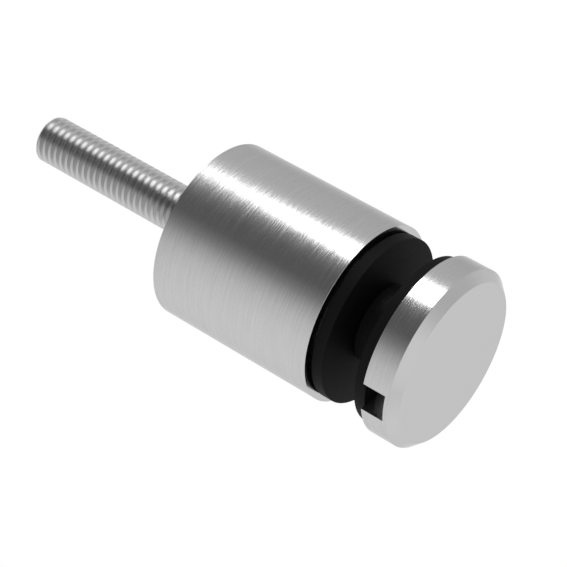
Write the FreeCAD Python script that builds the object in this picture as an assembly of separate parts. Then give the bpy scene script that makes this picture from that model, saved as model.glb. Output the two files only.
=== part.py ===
"""Glass point fixing: a round stainless stand-off that holds a pane off a wall.

A threaded stud goes into the wall. The body screws onto it, and a clamp head
with a screw of its own presses the pane between two rubber gaskets.

The origin is the centre of the body's back face, where it meets the wall.
+Y points into the wall, -Y out to the clamp head, and +Z is up.
All sizes are in millimetres.
"""
import FreeCAD, Part
import os

# Body: a turned bar, tapped right through, with a low seat for the gasket
body_diameter = 30.0
body_length = 30.0
seat_diameter = 25.0
seat_height = 0.5
bore_countersink = 0.6

# Threads are drawn plain, at the major diameter of M8
thread_diameter = 8.0
thread_clearance = 0.05
thread_chamfer = 0.5

# Wall stud, which fills the bore up to the clamp screw. Its groove is where the
# thread that goes into the wall ends and the thread held in the body begins
stud_reach = 36.0
stud_groove_width = 2.0
stud_groove_diameter = 6.2
screw_end_gap = 0.75

# Gaskets, one on each side of the glass
gasket_diameter = 28.0
gasket_thickness = 2.0
gasket_screw_clearance = 0.08

# Glass and the sleeve that lines the hole in it
glass_gap = 6.0
sleeve_diameter = 13.0
sleeve_end_clearance = 0.05
sleeve_screw_clearance = 0.08
sleeve_edge_chamfer = 0.3

# Clamp head
head_diameter = 30.0
head_thickness = 6.0
head_bevel = 1.5
head_running_gap = 0.05
head_hole_depth = 4.2

# Spanner notches in the rim of the head
notch_count = 2
notch_width = 5.0
notch_length = 4.0
notch_depth = 4.0
notch_angle = 0.0

# Screw that ties the head to the body
screw_length = 30.0

# Stations along the axis, counted outwards from the wall
seat_front = body_length + seat_height
glass_back = seat_front + gasket_thickness
glass_front = glass_back + glass_gap
gasket_front = glass_front + gasket_thickness
head_back = gasket_front + head_running_gap
screw_front = head_back + head_hole_depth
screw_back = screw_front - screw_length
bore_radius = thread_diameter / 2 + thread_clearance


def turned(profile):
    """Solid of revolution about the axis, from (radius, distance from the wall) points."""
    corners = [FreeCAD.Vector(radius, -station, 0) for radius, station in profile]
    wire = Part.makePolygon(corners + corners[:1])
    return Part.Face(wire).revolve(FreeCAD.Vector(0, 0, 0), FreeCAD.Vector(0, 1, 0), 360)


def threaded_rod(start, end):
    """M8 rod with chamfered ends, between two stations."""
    radius = thread_diameter / 2
    tip = radius - thread_chamfer
    return turned([(0, start), (tip, start), (radius, start + thread_chamfer),
                   (radius, end - thread_chamfer), (tip, end), (0, end)])


def washer(outer_diameter, bore_diameter, start, end, edge=0.0):
    """Flat ring between two stations, with an optional chamfer on its outer edges."""
    inner = bore_diameter / 2
    outer = outer_diameter / 2
    if not edge:
        return turned([(inner, start), (outer, start), (outer, end), (inner, end)])
    return turned([(inner, start), (outer - edge, start), (outer, start + edge),
                   (outer, end - edge), (outer - edge, end), (inner, end)])


def wall_stud():
    """Stud that goes into the wall, held in the back of the body, with a groove in its mouth."""
    groove = washer(thread_diameter + 2, stud_groove_diameter, 0, stud_groove_width)
    return threaded_rod(-stud_reach, screw_back - screw_end_gap).cut(groove)


def spacer_body():
    """Body with a countersunk bore and the raised seat that lifts the gasket off its face."""
    outer = body_diameter / 2
    seat = seat_diameter / 2
    mouth = bore_radius + bore_countersink
    return turned([(mouth, 0), (outer, 0), (outer, body_length), (seat, body_length),
                   (seat, seat_front), (mouth, seat_front),
                   (bore_radius, seat_front - bore_countersink), (bore_radius, bore_countersink)])


def gasket(start):
    """Rubber washer whose back lies at a station."""
    bore = thread_diameter + 2 * gasket_screw_clearance
    return washer(gasket_diameter, bore, start, start + gasket_thickness)


def glass_sleeve():
    """Plastic bush round the screw, as long as the glass is thick."""
    bore = thread_diameter + 2 * sleeve_screw_clearance
    return washer(sleeve_diameter, bore, glass_back + sleeve_end_clearance, glass_front,
                  sleeve_edge_chamfer)


def spanner_notch(angle):
    """Flat-floored notch in the head's rim, open to the side and to the glass."""
    floor = head_diameter / 2 - notch_depth
    reach = head_diameter
    block = Part.makeBox(reach, notch_length + head_running_gap, notch_width,
                         FreeCAD.Vector(floor, -head_back - notch_length, -notch_width / 2))
    block.rotate(FreeCAD.Vector(0, 0, 0), FreeCAD.Vector(0, 1, 0), angle)
    return block


def clamp_disc():
    """Head with a bevelled front, a blind tapped hole behind and notches round its rim."""
    outer = head_diameter / 2
    front = head_back + head_thickness
    mouth = bore_radius + bore_countersink
    hole_end = screw_front + thread_clearance
    disc = turned([(mouth, head_back), (outer, head_back), (outer, front - head_bevel),
                   (outer - head_bevel, front), (0, front), (0, hole_end),
                   (bore_radius, hole_end), (bore_radius, head_back + bore_countersink)])
    for index in range(notch_count):
        disc = disc.cut(spanner_notch(notch_angle + index * 360 / notch_count))
    return disc


def clamp_screw():
    """Threaded pin fixed in the head, which runs through the sleeve into the body."""
    return threaded_rod(screw_back, screw_front)


parts = {
    "wall_stud": wall_stud(),
    "spacer_body": spacer_body(),
    "rear_gasket": gasket(seat_front),
    "glass_sleeve": glass_sleeve(),
    "front_gasket": gasket(glass_front),
    "clamp_disc": clamp_disc(),
    "clamp_screw": clamp_screw(),
}

os.makedirs("parts", exist_ok=True)
for name, shape in parts.items():
    shape.exportStep(f"parts/{name}.step")
    print(f"{name}: {len(shape.Solids)} solid, {shape.Volume:.1f} mm3, valid {shape.isValid()}")
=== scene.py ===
# %% [markdown]
# A glass point fixing holds a pane of glass a few centimetres off a wall. A round
# stainless body stands on a threaded stud, and a clamp head presses the pane between
# two black rubber gaskets. The solids come packed from CAD, where the threads are plain
# cylinders and every edge is sharp. This file gives each piece its finished surface,
# puts it on the CAD body that it moves with, and sets up a small studio round it.

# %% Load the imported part
import math

import bmesh
import bpy
from mathutils import Matrix, Vector


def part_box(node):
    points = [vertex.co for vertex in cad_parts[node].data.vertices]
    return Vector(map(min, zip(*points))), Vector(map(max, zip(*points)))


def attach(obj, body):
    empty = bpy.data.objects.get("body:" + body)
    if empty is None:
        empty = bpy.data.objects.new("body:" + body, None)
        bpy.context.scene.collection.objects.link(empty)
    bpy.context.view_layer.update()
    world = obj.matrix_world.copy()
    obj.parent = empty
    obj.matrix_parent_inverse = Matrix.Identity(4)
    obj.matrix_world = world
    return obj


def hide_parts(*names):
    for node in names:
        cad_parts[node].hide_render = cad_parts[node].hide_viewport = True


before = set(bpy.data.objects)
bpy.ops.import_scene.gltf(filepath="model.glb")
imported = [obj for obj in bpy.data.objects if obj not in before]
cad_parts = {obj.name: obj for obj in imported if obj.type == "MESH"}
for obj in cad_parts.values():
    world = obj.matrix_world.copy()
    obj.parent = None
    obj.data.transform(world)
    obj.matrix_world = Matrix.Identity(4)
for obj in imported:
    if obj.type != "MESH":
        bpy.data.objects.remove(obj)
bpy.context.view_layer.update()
MM = 0.001
print("CAD nodes:", ", ".join(sorted(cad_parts)))

# %% [markdown]
# Every piece here is turned about the part's own Y axis, as it would be on a lathe. A
# turned piece is one outline of (radius, y) corners, swept round the axis. Real turned
# edges are never perfectly sharp: a touch of the file leaves a tiny flat that catches a
# thin line of light, so `eased` cuts each corner of an outline before it is swept.

# %% Outlines and the lathe
ROUND_STEPS = 256
SHARP_ANGLE = math.radians(20)


def eased(outline, size, closed=True):
    """Outline with a small flat across each corner that is off the axis."""
    points = []
    count = len(outline)
    for index, corner in enumerate(outline):
        here = Vector(corner)
        if corner[0] == 0 or (not closed and index in (0, count - 1)):
            points.append(here)
            continue
        for neighbour in (outline[index - 1], outline[(index + 1) % count]):
            side = Vector(neighbour) - here
            points.append(here + side.normalized() * min(size, side.length / 3))
    return points


def lathe(name, outline, closed=True):
    """Mesh object swept round the Y axis from an outline of (radius, y) points."""
    angles = [2 * math.pi * step / ROUND_STEPS for step in range(ROUND_STEPS)]
    bm = bmesh.new()
    rings = []
    for radius, y in outline:
        if radius == 0:
            rings.append([bm.verts.new((0, y, 0))] * ROUND_STEPS)
            continue
        rings.append([bm.verts.new((radius * math.sin(angle), y, radius * math.cos(angle)))
                      for angle in angles])
    pairs = list(zip(rings, rings[1:]))
    if closed:
        pairs.append((rings[-1], rings[0]))
    for near, far in pairs:
        for step in range(ROUND_STEPS):
            after = (step + 1) % ROUND_STEPS
            corners = dict.fromkeys((near[step], near[after], far[after], far[step]))
            bm.faces.new(list(corners))
    bmesh.ops.recalc_face_normals(bm, faces=bm.faces)
    mesh = bpy.data.meshes.new(name)
    bm.to_mesh(mesh)
    bm.free()
    piece = bpy.data.objects.new(name, mesh)
    bpy.context.collection.objects.link(piece)
    return piece


def crisp(piece, angle=SHARP_ANGLE):
    """Smooth shading inside each turned surface, with its edges kept sharp."""
    piece.data.shade_smooth()
    piece.data.set_sharp_from_angle(angle=angle)
    return piece


print("Lathe:", ROUND_STEPS, "steps a turn")

# %% [markdown]
# A material is a tree of nodes, and so is a thread made with Geometry Nodes. Both need
# the same few moves: add a node, and feed each of its inputs with a number or with
# another node's output. Two short helpers do that for every tree in this file.

# %% Helpers for node trees
def feed(tree, source, socket):
    """Link an output to a socket, or set the socket to a plain value."""
    if isinstance(source, bpy.types.NodeSocket):
        tree.links.new(source, socket)
    else:
        socket.default_value = source


def add_node(tree, kind, *inputs, **settings):
    """Add a node, set its options, and feed its first inputs in order."""
    node = tree.nodes.new(kind)
    for option, value in settings.items():
        setattr(node, option, value)
    for source, socket in zip(inputs, node.inputs):
        if source is not None:
            feed(tree, source, socket)
    return node


def maths(tree, operation, *inputs):
    """One scalar sum, product or other operation."""
    return add_node(tree, "ShaderNodeMath", *inputs, operation=operation).outputs[0]


def vectors(tree, operation, *inputs):
    """One vector operation."""
    return add_node(tree, "ShaderNodeVectorMath", *inputs, operation=operation).outputs[0]


# %% [markdown]
# Brushed stainless is polished with a belt while it turns, so fine scratches run round
# the axis. An image could show them, but it would need unwrapping and would show its
# seams. Here they are noise instead, stretched round the axis from the piece's own Object
# coordinates, so it turns with the piece. The flat faces are finished much finer than the
# sides, so `plainness` tells where the surface faces along the axis.

# %% Directions and grain on a turned surface
FACE_STARTS, FACE_IS_FULL = 0.3, 0.9


def lathe_directions(tree):
    """Object position, normal, and the unit vectors round the axis and across the grain."""
    coordinates = add_node(tree, "ShaderNodeTexCoord")
    position = coordinates.outputs["Object"]
    normal = coordinates.outputs["Normal"]
    around = vectors(tree, "CROSS_PRODUCT", (0, 1, 0), position)
    around = vectors(tree, "NORMALIZE", around)
    across = vectors(tree, "CROSS_PRODUCT", normal, around)
    across = vectors(tree, "NORMALIZE", across)
    return position, normal, around, across


def grain(tree, position, length, width, detail=2.0):
    """Noise drawn out round the axis, as fine on a face as it is on a side."""
    parts = add_node(tree, "ShaderNodeSeparateXYZ", position)
    x, y, z = parts.outputs
    flat = add_node(tree, "ShaderNodeCombineXYZ", x, 0.0, z).outputs[0]
    radius = add_node(tree, "ShaderNodeVectorMath", flat, operation="LENGTH").outputs["Value"]
    travel = maths(tree, "MULTIPLY", maths(tree, "ADD", y, radius), 1 / width)
    round_x = maths(tree, "MULTIPLY", x, 1 / length)
    round_z = maths(tree, "MULTIPLY", z, 1 / length)
    place = add_node(tree, "ShaderNodeCombineXYZ", round_x, travel, round_z).outputs[0]
    noise = add_node(tree, "ShaderNodeTexNoise", place)
    noise.inputs["Scale"].default_value = 1.0
    noise.inputs["Detail"].default_value = detail
    return noise.outputs[0]


def spread(tree, value, low, high):
    """Map a noise value from 0.25..0.75 to a range."""
    node = add_node(tree, "ShaderNodeMapRange", value, 0.25, 0.75, low, high)
    return node.outputs[0]


def plainness(tree, normal):
    """0 on the sides, 1 on the faces, and between them on a bevel."""
    along = add_node(tree, "ShaderNodeSeparateXYZ", normal).outputs["Y"]
    return add_node(tree, "ShaderNodeMapRange", maths(tree, "ABSOLUTE", along),
                    FACE_STARTS, FACE_IS_FULL).outputs[0]


print("Grain fades out between", FACE_STARTS, "and", FACE_IS_FULL, "of facing along the axis")

# %% [markdown]
# The scratches blur a reflection only across themselves: along the axis on a side, and
# along the radius on a face. The shader calls this anisotropy, and its tangent says which
# way the blur runs. Some scratches are rougher than others, which frays the edges of the
# highlights, and each leans a little and has its own tone. A broader grain is laid over
# the fine one, because real belts leave both. A milling cutter leaves an even satin
# instead, so the grain stops where a face attribute called `milled` is 1.

# %% Brushed steel
GRAIN_LENGTH = 5.0 * MM
GRAIN_WIDTH = 0.13 * MM
BROAD_LENGTH = 2.2
BROAD_WIDTH = 1.8
STEEL_COLOUR = 0.56
TONE_CHANGE = 0.045
MILLED_ROUGHNESS = 0.26
ANISOTROPY = 0.6
EDGE_TINT = (0.8, 0.8, 0.8, 1)


def brushed_steel(name, roughness, uneven, face_roughness, lean_round, lean_across,
                  length, width):
    """Steel with its grain round the Y axis. `uneven` is how far the roughness varies."""
    material = bpy.data.materials.new(name)
    material.use_nodes = True
    tree = material.node_tree
    shader = tree.nodes["Principled BSDF"]
    position, normal, around, across = lathe_directions(tree)
    milled = add_node(tree, "ShaderNodeAttribute", attribute_name="milled").outputs["Fac"]
    plain = maths(tree, "MAXIMUM", plainness(tree, normal), milled)
    grainy = maths(tree, "SUBTRACT", 1.0, plain)
    fine = grain(tree, position, length, width)
    broad = grain(tree, position, length * BROAD_LENGTH, width * BROAD_WIDTH)

    leans = []
    for noise, direction, amount in ((fine, around, lean_round), (broad, across, lean_across)):
        tilt = maths(tree, "MULTIPLY", spread(tree, noise, -amount, amount), grainy)
        lean = add_node(tree, "ShaderNodeVectorMath", direction, operation="SCALE")
        feed(tree, tilt, lean.inputs["Scale"])
        leans.append(lean.outputs[0])
    bent = vectors(tree, "ADD", vectors(tree, "ADD", normal, leans[0]), leans[1])
    to_world = add_node(tree, "ShaderNodeVectorTransform", vectors(tree, "NORMALIZE", bent),
                        vector_type="NORMAL", convert_from="OBJECT", convert_to="WORLD")
    tree.links.new(to_world.outputs[0], shader.inputs["Normal"])
    tangent = add_node(tree, "ShaderNodeVectorTransform", across,
                       vector_type="VECTOR", convert_from="OBJECT", convert_to="WORLD")
    tree.links.new(tangent.outputs[0], shader.inputs["Tangent"])

    change = maths(tree, "MULTIPLY", spread(tree, broad, -TONE_CHANGE, TONE_CHANGE), grainy)
    tone = maths(tree, "MULTIPLY_ADD", change, STEEL_COLOUR, STEEL_COLOUR)
    shade = add_node(tree, "ShaderNodeCombineColor", tone, tone, tone)
    tree.links.new(shade.outputs[0], shader.inputs["Base Color"])
    rough_side = spread(tree, fine, roughness * (1 - uneven), roughness * (1 + uneven))
    rough = add_node(tree, "ShaderNodeMix", plain, None, rough_side, face_roughness)
    rough = add_node(tree, "ShaderNodeMix", milled, None, rough.outputs[0], MILLED_ROUGHNESS)
    tree.links.new(rough.outputs[0], shader.inputs["Roughness"])
    shader.inputs["Metallic"].default_value = 1.0
    shader.inputs["Anisotropic"].default_value = ANISOTROPY
    shader.inputs["Specular Tint"].default_value = EDGE_TINT
    return material


body_steel = brushed_steel(
    "brushed_stainless", roughness=0.235, uneven=0.34, face_roughness=0.15,
    lean_round=0.01, lean_across=0.03, length=GRAIN_LENGTH, width=GRAIN_WIDTH)
thread_steel = brushed_steel(
    "threaded_stainless", roughness=0.2, uneven=0.1, face_roughness=0.22,
    lean_round=0.004, lean_across=0.006, length=GRAIN_LENGTH * 0.5, width=GRAIN_WIDTH * 0.6)
print("Steel finishes:", body_steel.name, thread_steel.name)

# %% [markdown]
# Rubber and moulded plastic are nearly black here. What tells them apart is their skin:
# the cut rubber is dull, with a fine uneven bump, and the sleeve is a little smoother.
# Black rubber reflects less than the shader's usual surface, so its specular level is low.

# %% Rubber and plastic
BUMP_STRENGTH = 0.6
TONE_SPREAD = 0.2
SHEEN_SPREAD = 0.1


def dull_black(name, colour, roughness, specular, grain_size, bump_height):
    """Near-black surface with a fine bump and a slightly uneven sheen."""
    material = bpy.data.materials.new(name)
    material.use_nodes = True
    tree = material.node_tree
    shader = tree.nodes["Principled BSDF"]
    position = add_node(tree, "ShaderNodeTexCoord").outputs["Object"]
    noise = add_node(tree, "ShaderNodeTexNoise", position)
    noise.inputs["Scale"].default_value = 1 / grain_size
    noise.inputs["Detail"].default_value = 3.0
    bump = add_node(tree, "ShaderNodeBump")
    bump.inputs["Distance"].default_value = bump_height
    bump.inputs["Strength"].default_value = BUMP_STRENGTH
    tree.links.new(noise.outputs[0], bump.inputs["Height"])
    tree.links.new(bump.outputs[0], shader.inputs["Normal"])
    tone = spread(tree, noise.outputs[0], colour * (1 - TONE_SPREAD), colour * (1 + TONE_SPREAD))
    shade = add_node(tree, "ShaderNodeCombineColor", tone, tone, tone)
    tree.links.new(shade.outputs[0], shader.inputs["Base Color"])
    sheen = spread(tree, noise.outputs[0], roughness * (1 - SHEEN_SPREAD),
                   roughness * (1 + SHEEN_SPREAD))
    tree.links.new(sheen, shader.inputs["Roughness"])
    shader.inputs["Specular IOR Level"].default_value = specular
    return material


rubber = dull_black("gasket_rubber", colour=0.0055, roughness=0.6, specular=0.075,
                    grain_size=0.3 * MM, bump_height=0.02 * MM)
plastic = dull_black("sleeve_plastic", colour=0.008, roughness=0.45, specular=0.12,
                     grain_size=0.2 * MM, bump_height=0.01 * MM)
print("Black finishes:", rubber.name, plastic.name)

# %% [markdown]
# The body is a bar turned to size, tapped right through and countersunk at both mouths.
# A low seat on its front lifts the gasket a little off the face, which shows as a thin
# black gap. Its radius and length come from the CAD node's box.

# %% Turn the body
body_low, body_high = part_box("spacer_body")
SEAT_HEIGHT = 0.5 * MM
SEAT_RADIUS = 12.5 * MM
BORE_RADIUS = 4.05 * MM
COUNTERSINK = 0.6 * MM
EDGE_BREAK = 0.03 * MM


def finish_piece(piece, cad_node, body, material):
    """Give a piece its material and its body, and hide the CAD node that it stands for."""
    piece.data.materials.clear()
    piece.data.materials.append(material)
    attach(piece, body)
    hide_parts(cad_node)
    print(piece.name, len(piece.data.polygons), "faces")


body_radius = body_high.x
shoulder = body_low.y + SEAT_HEIGHT
body_outline = [
    (BORE_RADIUS + COUNTERSINK, body_high.y),
    (body_radius, body_high.y),
    (body_radius, shoulder),
    (SEAT_RADIUS, shoulder),
    (SEAT_RADIUS, body_low.y),
    (BORE_RADIUS + COUNTERSINK, body_low.y),
    (BORE_RADIUS, body_low.y + COUNTERSINK),
    (BORE_RADIUS, body_high.y - COUNTERSINK),
]
body = crisp(lathe("brushed_body", eased(body_outline, EDGE_BREAK)))
finish_piece(body, "spacer_body", "fixed_spacer", body_steel)

# %% [markdown]
# The gaskets are washers cut from sheet rubber, and the sleeve is a moulded bush that
# keeps the steel screw off the glass. They are small, but the eye reads them by their
# edges: the gaskets' are a little rounded by the cutter, and the sleeve's are chamfered.

# %% Turn the gaskets and the sleeve
GASKET_EDGE = 0.05 * MM
SLEEVE_EDGE = 0.3 * MM
RING_BORE = 4.08 * MM


def ring_outline(node):
    """Outline of a plain ring that fills a CAD node's box."""
    low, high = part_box(node)
    return [(RING_BORE, high.y), (high.x, high.y), (high.x, low.y), (RING_BORE, low.y)]


def rounded(outline, size):
    """Outline whose corners are eased twice, close to a small round."""
    return eased(eased(outline, size), size * 0.4)


for name, node, rides_on in (("gasket_behind_glass", "rear_gasket", "fixed_spacer"),
                             ("gasket_before_glass", "front_gasket", "pressed_parts")):
    gasket = crisp(lathe(name, rounded(ring_outline(node), GASKET_EDGE)))
    finish_piece(gasket, node, rides_on, rubber)

sleeve = crisp(lathe("glass_bush", eased(ring_outline("glass_sleeve"), SLEEVE_EDGE)))
finish_piece(sleeve, "glass_sleeve", "pressed_parts", plastic)

# %% [markdown]
# The clamp head is a disc with a wide bevel round its front and a blind tapped hole in
# its back. Its outline starts and ends on the axis, so the sweep closes it by itself.

# %% Turn the clamp head
HEAD_BEVEL = 1.5 * MM
HEAD_HOLE_DEPTH = 4.25 * MM

head_low, head_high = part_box("clamp_disc")
head_radius = head_high.z
head_outline = [
    (0, head_low.y),
    (head_radius - HEAD_BEVEL, head_low.y),
    (head_radius, head_low.y + HEAD_BEVEL),
    (head_radius, head_high.y),
    (BORE_RADIUS + COUNTERSINK, head_high.y),
    (BORE_RADIUS, head_high.y - COUNTERSINK),
    (BORE_RADIUS, head_high.y - HEAD_HOLE_DEPTH),
    (0, head_high.y - HEAD_HOLE_DEPTH),
]
head = lathe("clamp_head", eased(head_outline, EDGE_BREAK, closed=False), closed=False)
print(head.name, len(head.data.polygons), "faces before the cut")

# %% [markdown]
# Two square notches in the back of the head's rim take a pin spanner. They could be
# modelled face by face, but a Boolean works on true volumes, so each notch gets its flat
# floor and square walls in one step. The modifier's result is then kept as a plain mesh,
# and the faces that the cut made are marked as milled for the steel's material.

# %% Cut the notches
NOTCH_WIDTH = 5.0 * MM
NOTCH_LENGTH = 4.0 * MM
NOTCH_DEPTH = 4.0 * MM
NOTCH_SLACK = 0.01 * MM


def notch_block(side):
    """Block that cuts one notch, on the +X side or the -X side."""
    reach = head_radius * 2
    floor = head_radius - NOTCH_DEPTH
    bm = bmesh.new()
    bmesh.ops.create_cube(bm, size=1.0)
    size = Matrix.Diagonal((reach, NOTCH_LENGTH * 2, NOTCH_WIDTH, 1))
    place = Matrix.Translation((side * (floor + reach / 2), head_high.y, 0))
    bm.transform(place @ size)
    mesh = bpy.data.meshes.new("notch_block")
    bm.to_mesh(mesh)
    bm.free()
    block = bpy.data.objects.new("notch_block", mesh)
    bpy.context.collection.objects.link(block)
    return block


def plain_mesh(piece):
    """Keep what the modifiers make as the piece's own mesh, and drop the modifiers."""
    depsgraph = bpy.context.evaluated_depsgraph_get()
    made = bpy.data.meshes.new_from_object(piece.evaluated_get(depsgraph))
    piece.modifiers.clear()
    piece.data = made
    return piece


def mark_milled(piece):
    """Face attribute that is 1 on the floor and walls of a notch, and 0 elsewhere."""
    milled = piece.data.attributes.new("milled", "FLOAT", "FACE")
    for face, mark in zip(piece.data.polygons, milled.data):
        x, y, z = face.center
        mark.value = float(abs(x) > head_radius - NOTCH_DEPTH - NOTCH_SLACK
                           and y > head_high.y - NOTCH_LENGTH - NOTCH_SLACK
                           and abs(z) < NOTCH_WIDTH / 2 + NOTCH_SLACK)
    print("Milled faces:", sum(mark.value > 0 for mark in milled.data))


blocks = [notch_block(1), notch_block(-1)]
for block in blocks:
    cut = head.modifiers.new("notch", "BOOLEAN")
    cut.operation = "DIFFERENCE"
    cut.solver = "EXACT"
    cut.object = block
plain_mesh(head)
for block in blocks:
    bpy.data.objects.remove(block)
crisp(head)
mark_milled(head)
finish_piece(head, "clamp_disc", "turning_head", body_steel)

# %% [markdown]
# An M8 thread climbs 1.25 mm a turn. It follows a rule, so Geometry Nodes make it: a
# flat grid is wrapped round the axis, and each column of points is lifted by its share
# of the pitch, so the grid's rows run along the helix. Sixteen rows make one turn: half of
# it is a broad rolled crest, and the other half falls to the root and rises again. The
# rows past the rod's ends are pressed flat against them, and the first and last row close
# on the axis.

# %% Build the thread tree
ROWS_A_TURN = 16
ROOT_ROW = 8
FLANK_ROWS = 4
MERGE_DISTANCE = 0.0005 * MM


def thread_tree():
    """Geometry Nodes tree for a right-handed threaded rod along Y."""
    tree = bpy.data.node_groups.new("threaded_rod", "GeometryNodeTree")
    for label in ("Start", "End", "Radius", "Pitch", "Depth", "Chamfer"):
        tree.interface.new_socket(label, in_out="INPUT", socket_type="NodeSocketFloat")
    tree.interface.new_socket("Segments", in_out="INPUT", socket_type="NodeSocketInt")
    tree.interface.new_socket("Steel", in_out="INPUT", socket_type="NodeSocketMaterial")
    tree.interface.new_socket("Rod", in_out="OUTPUT", socket_type="NodeSocketGeometry")
    given = add_node(tree, "NodeGroupInput").outputs
    start, end, radius, pitch = (given[label] for label in ("Start", "End", "Radius", "Pitch"))

    length = maths(tree, "SUBTRACT", end, start)
    turns = maths(tree, "ADD", maths(tree, "CEIL", maths(tree, "DIVIDE", length, pitch)), 2.0)
    last_row = maths(tree, "ADD", maths(tree, "MULTIPLY", turns, ROWS_A_TURN), 1.0)
    grid = add_node(tree, "GeometryNodeMeshGrid", last_row, given["Segments"],
                    maths(tree, "ADD", last_row, 1.0), maths(tree, "ADD", given["Segments"], 1.0))
    place = add_node(tree, "ShaderNodeSeparateXYZ",
                     add_node(tree, "GeometryNodeInputPosition").outputs[0]).outputs
    row = maths(tree, "ROUND", maths(tree, "MULTIPLY_ADD", last_row, 0.5, place["X"]))
    column = maths(tree, "MULTIPLY_ADD", given["Segments"], 0.5, place["Y"])
    turned = maths(tree, "DIVIDE", column, given["Segments"])

    step = maths(tree, "SUBTRACT", row, 1.0)
    climb = maths(tree, "ADD", maths(tree, "DIVIDE", step, ROWS_A_TURN),
                  maths(tree, "SUBTRACT", turned, 1.0))
    y = maths(tree, "MULTIPLY_ADD", climb, pitch, start)
    y = maths(tree, "MAXIMUM", maths(tree, "MINIMUM", y, end), start)

    step = maths(tree, "FLOORED_MODULO", step, ROWS_A_TURN)
    from_root = maths(tree, "ABSOLUTE", maths(tree, "SUBTRACT", step, ROOT_ROW))
    sunk = add_node(tree, "ShaderNodeMapRange", from_root, 0.0, float(FLANK_ROWS), 1.0, 0.0)
    sunk = sunk.outputs[0]
    crest = maths(tree, "SUBTRACT", radius, maths(tree, "MULTIPLY", sunk, given["Depth"]))
    from_end = maths(tree, "MINIMUM", maths(tree, "SUBTRACT", y, start),
                     maths(tree, "SUBTRACT", end, y))
    cone = maths(tree, "ADD", maths(tree, "SUBTRACT", radius, given["Chamfer"]), from_end)
    inside = maths(tree, "MULTIPLY", maths(tree, "GREATER_THAN", row, 0.5),
                   maths(tree, "LESS_THAN", row, maths(tree, "SUBTRACT", last_row, 0.5)))
    out = maths(tree, "MULTIPLY", maths(tree, "MINIMUM", crest, cone), inside)
    angle = maths(tree, "MULTIPLY", turned, 2 * math.pi)
    around = add_node(tree, "ShaderNodeCombineXYZ",
                      maths(tree, "MULTIPLY", out, maths(tree, "SINE", angle)), y,
                      maths(tree, "MULTIPLY", out, maths(tree, "COSINE", angle)))

    moved = add_node(tree, "GeometryNodeSetPosition", grid.outputs["Mesh"], None, around.outputs[0])
    merged = add_node(tree, "GeometryNodeMergeByDistance", moved.outputs[0])
    merged.inputs["Distance"].default_value = MERGE_DISTANCE
    real = add_node(tree, "GeometryNodeRealizeInstances", merged.outputs[0])
    steel = add_node(tree, "GeometryNodeSetMaterial", real.outputs[0])
    feed(tree, given["Steel"], steel.inputs["Material"])
    add_node(tree, "NodeGroupOutput", steel.outputs[0])
    return tree


THREAD_TREE = thread_tree()
print("Thread tree:", len(THREAD_TREE.nodes), "nodes")

# %% [markdown]
# The same tree cuts both rods. A modifier's inputs are set by their identifiers, before
# Blender first works the object out. The wall stud shows most of its length, and the
# clamp screw comes into view only when the head is screwed out.

# %% Cut the wall stud and the clamp screw
PITCH = 1.25 * MM
THREAD_DEPTH = 0.25 * MM
ROD_CHAMFER = 0.5 * MM
THREAD_SHARP_ANGLE = math.radians(25)


def threaded_rod(name, node, segments):
    """Threaded rod that fills a CAD node's box from end to end."""
    low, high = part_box(node)
    rod = bpy.data.objects.new(name, bpy.data.meshes.new(name))
    bpy.context.collection.objects.link(rod)
    modifier = rod.modifiers.new("thread", "NODES")
    modifier.node_group = THREAD_TREE
    sizes = {"Start": low.y, "End": high.y, "Radius": high.x, "Pitch": PITCH,
             "Depth": THREAD_DEPTH, "Chamfer": ROD_CHAMFER,
             "Segments": segments, "Steel": thread_steel}
    for socket in THREAD_TREE.interface.items_tree:
        if socket.in_out == "INPUT":
            modifier[socket.identifier] = sizes[socket.name]
    plain_mesh(rod)
    bm = bmesh.new()
    bm.from_mesh(rod.data)
    bmesh.ops.recalc_face_normals(bm, faces=bm.faces)
    bm.to_mesh(rod.data)
    bm.free()
    return crisp(rod, THREAD_SHARP_ANGLE)


stud = threaded_rod("threaded_wall_stud", "wall_stud", segments=96)
finish_piece(stud, "wall_stud", "fixed_spacer", thread_steel)
screw = threaded_rod("threaded_clamp_screw", "clamp_screw", segments=64)
finish_piece(screw, "clamp_screw", "turning_head", thread_steel)

# %% [markdown]
# The studio is a pale floor in plain light, far enough below the fixing that it casts no
# shadow near it. Light Path makes the floor and the world plain white to the camera and
# in reflections, at a strength of one, so the background is white without more light.

# %% Floor and world
FLOOR_DROP = 0.6
FLOOR_REACH = 2
FLOOR_COLOUR = (0.9, 0.9, 0.9, 1)
WHITE = (1, 1, 1, 1)
WORLD_LEVEL = 0.8


def background_ray(tree):
    """1 for camera, glossy and transmission rays, and 0 for light that falls on things."""
    rays = add_node(tree, "ShaderNodeLightPath").outputs
    seen = maths(tree, "MAXIMUM", rays["Is Camera Ray"], rays["Is Glossy Ray"])
    return maths(tree, "MAXIMUM", seen, rays["Is Transmission Ray"])


def stage_card(name, rows, material):
    """Card of the studio, from rows of corners. It isn't part of the object."""
    mesh = bpy.data.meshes.new(name)
    width = len(rows[0])
    faces = [(i * width + j, i * width + j + 1, (i + 1) * width + j + 1, (i + 1) * width + j)
             for i in range(len(rows) - 1) for j in range(width - 1)]
    mesh.from_pydata([corner for row in rows for corner in row], [], faces)
    mesh.materials.append(material)
    card = bpy.data.objects.new(name, mesh)
    bpy.context.collection.objects.link(card)
    return card


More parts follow.
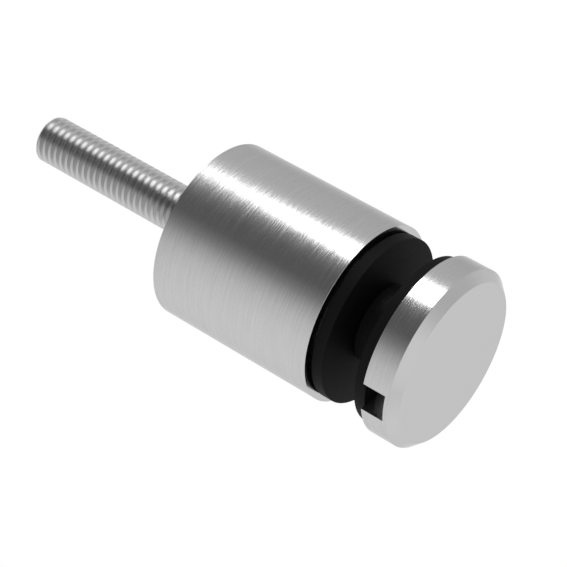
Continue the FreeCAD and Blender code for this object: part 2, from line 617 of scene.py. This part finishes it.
floor_material = bpy.data.materials.new("studio_floor")
floor_material.use_nodes = True
tree = floor_material.node_tree
tree.nodes.remove(tree.nodes["Principled BSDF"])
paint = add_node(tree, "ShaderNodeBsdfDiffuse", FLOOR_COLOUR)
white = add_node(tree, "ShaderNodeEmission", WHITE, 1.0)
mixed = add_node(tree, "ShaderNodeMixShader", background_ray(tree),
                 paint.outputs[0], white.outputs[0])
tree.links.new(mixed.outputs[0], tree.nodes["Material Output"].inputs["Surface"])
stage_card("studio_floor", [[(x, y, -FLOOR_DROP) for x in (-FLOOR_REACH, FLOOR_REACH)]
                            for y in (-FLOOR_REACH, FLOOR_REACH)], floor_material)

world = bpy.data.worlds.new("studio")
bpy.context.scene.world = world
world.use_nodes = True
tree = world.node_tree
level = add_node(tree, "ShaderNodeMapRange", background_ray(tree), 0.0, 1.0, WORLD_LEVEL, 1.0)
tree.links.new(level.outputs[0], tree.nodes["Background"].inputs["Strength"])
tree.nodes["Background"].inputs["Color"].default_value = WHITE
print("Floor", FLOOR_DROP, "m below the axis, world level", WORLD_LEVEL)

# %% [markdown]
# Steel is only as good as what it reflects. Photographers hang grey and white cards round
# shiny things, and this scene does the same, with cards that only glossy reflections see.
# A card curves round the fixing's axis. A place on it has two angles: one about the axis,
# from +X towards +Z, and one along it, towards the wall. Its brightness is a colour ramp
# over the angle about, and a second ramp can take over towards the wall.

# %% Curved cards
CARD_DISTANCE = 0.5
CARD_STEPS = 24
FADE_ANGLE = 15


def glow_ramp(tree, across, first, last, levels):
    """Brightness round a card, from (angle, level) stops."""
    ramp = add_node(tree, "ShaderNodeValToRGB", across)
    stops = ramp.color_ramp.elements
    while len(stops) < len(levels):
        stops.new(0.5)
    for stop, (angle, level) in zip(stops, levels):
        stop.position = (angle - first) / (last - first)
        stop.color = (level, level, level, 1)
    return ramp.outputs[0]


def grey_glow(tree, first, last, front_levels, wall_levels):
    """Grey that changes round the axis, and along it from the front levels to the wall's."""
    place = add_node(tree, "ShaderNodeSeparateXYZ",
                     add_node(tree, "ShaderNodeTexCoord").outputs["Object"]).outputs
    about = maths(tree, "ARCTAN2", place["Z"], place["X"])
    about = maths(tree, "SUBTRACT", about, math.radians(first))
    about = maths(tree, "FLOORED_MODULO", about, 2 * math.pi)
    across = maths(tree, "DIVIDE", about, math.radians(last - first))
    ends = (CARD_DISTANCE * math.tan(math.radians(angle)) for angle in (-FADE_ANGLE, FADE_ANGLE))
    share = add_node(tree, "ShaderNodeMapRange", place["Y"], *ends).outputs[0]
    front = glow_ramp(tree, across, first, last, front_levels)
    wall = glow_ramp(tree, across, first, last, wall_levels)
    return add_node(tree, "ShaderNodeMixRGB", share, front, wall).outputs[0]


def curved_card(name, distance, outline, strength, front_levels=None, wall_levels=None):
    """Card round the axis. `outline` lists (angle along, first and last angle about)."""
    material = bpy.data.materials.new(name)
    material.use_nodes = True
    tree = material.node_tree
    tree.nodes.remove(tree.nodes["Principled BSDF"])
    grey = WHITE
    if front_levels:
        grey = grey_glow(tree, *outline[0][1:], front_levels, wall_levels or front_levels)
    light = add_node(tree, "ShaderNodeEmission", grey, strength)
    tree.links.new(light.outputs[0], tree.nodes["Material Output"].inputs["Surface"])
    rows = []
    for along, first, last in outline:
        reach = distance * math.tan(math.radians(along))
        turns = [math.radians(first + (last - first) * i / CARD_STEPS)
                 for i in range(CARD_STEPS + 1)]
        rows.append([(distance * math.cos(turn), reach, distance * math.sin(turn))
                     for turn in turns])
    card = stage_card(name, rows, material)
    card.visible_camera = False
    card.visible_diffuse = False
    card.visible_shadow = False
    card.visible_transmission = False
    print("Card:", name)


# %% [markdown]
# The surround is grey behind the fixing and black in front of it, for the quiet upper edge
# and the dark band. The wing closes it towards the front, for the bevel. The light strip
# hangs before the surround, over the head, and tapers, so its white highlight fades towards
# the wall. The stud has three near cards of its own, which the body can't see: a grey one,
# a softer highlight, and the wall's shade for the far flank of each thread.

# %% Hang the cards
STRIP_DISTANCE = CARD_DISTANCE * 0.97
STRIP_LEVEL = 8.0
STUD_DISTANCE = 0.06
STUD_HIGHLIGHT_DISTANCE = 0.04
STUD_HIGHLIGHT_LEVEL = 1.5
SHADE_LEVEL = 0.15

SURROUND_FRONT = [(-30, 1.0), (0, 0.85), (20, 0.7), (80, 0.66), (91, 0.27), (106, 0.12),
                  (140, 0.13), (151, 0.24), (166, 0.52), (187, 0.73), (215, 0.88), (250, 1.0)]
SURROUND_WALL = [(-30, 0.98), (-12, 0.76), (2, 0.65), (56, 0.67), (86, 0.5), (98, 0.22),
                 (112, 0.14), (133, 0.14), (148, 0.3), (161, 0.57), (176, 0.8), (200, 0.93),
                 (250, 1.0)]
WING = [(20, 0.72), (58, 0.69), (84, 0.8), (125, 0.97)]
STUD_SURROUND = [(-30, 1.0), (5, 0.93), (21, 0.74), (37, 0.5), (52, 0.46), (62, 0.65), (76, 1.0),
                 (90, 0.9), (104, 0.3), (116, 0.16), (138, 0.135), (150, 0.23), (165, 0.37),
                 (213, 0.5), (245, 0.78), (265, 0.92)]
STUD_HIGHLIGHT = [(48, 0.34), (62, 0.4), (72, 0.7), (80, 1.0), (95, 0.9), (105, 0.4), (112, 0.1)]
curved_card("surround", CARD_DISTANCE, [(-53, -30, 250), (76, -30, 250)], 1.0,
            SURROUND_FRONT, SURROUND_WALL)
curved_card("wing", CARD_DISTANCE, [(-68, 20, 125), (-53, 20, 125)], 1.0, WING)
curved_card("stud_surround", STUD_DISTANCE, [(31, -30, 265), (55, -30, 265)], 1.0,
            STUD_SURROUND)
curved_card("wall_shade", STUD_DISTANCE, [(55, -30, 265), (77, -30, 265)], SHADE_LEVEL)
curved_card("stud_highlight", STUD_HIGHLIGHT_DISTANCE, [(27, 48, 112), (58, 48, 112)],
            STUD_HIGHLIGHT_LEVEL, STUD_HIGHLIGHT)
curved_card("light_strip", STRIP_DISTANCE,
            [(4, 61, 95), (14, 64, 91), (20, 68, 85), (25, 75, 77)], STRIP_LEVEL)

# %% [markdown]
# The camera stands where the photograph was taken: to the left of the head, above it,
# and turned by a few degrees, with a long lens that keeps the perspective calm.

# %% Camera
AIM = Vector((2.66, -12.03, -5.88)) * MM
DISTANCE = 341.9 * MM
AZIMUTH = math.radians(-53.41)
ELEVATION = math.radians(40.59)
ROLL = math.radians(3.66)
SENSOR_WIDTH = 36.0
LENS = 136.7

away = Vector((math.sin(AZIMUTH) * math.cos(ELEVATION),
               -math.cos(AZIMUTH) * math.cos(ELEVATION), math.sin(ELEVATION)))
level_right = Vector((0, 0, 1)).cross(away).normalized()
level_up = away.cross(level_right)
right = level_right * math.cos(ROLL) + level_up * math.sin(ROLL)
up = away.cross(right)
turn = Matrix((right, up, away)).transposed().to_4x4()

camera_data = bpy.data.cameras.new("camera")
camera_data.sensor_width = SENSOR_WIDTH
camera_data.lens = LENS
camera_data.clip_start = 0.01
camera = bpy.data.objects.new("camera", camera_data)
bpy.context.collection.objects.link(camera)
camera.matrix_world = Matrix.Translation(AIM + away * DISTANCE) @ turn
bpy.context.scene.camera = camera
bpy.context.scene.view_settings.view_transform = "Standard"
print("Camera:", LENS, "mm lens,", round(DISTANCE / MM), "mm away")
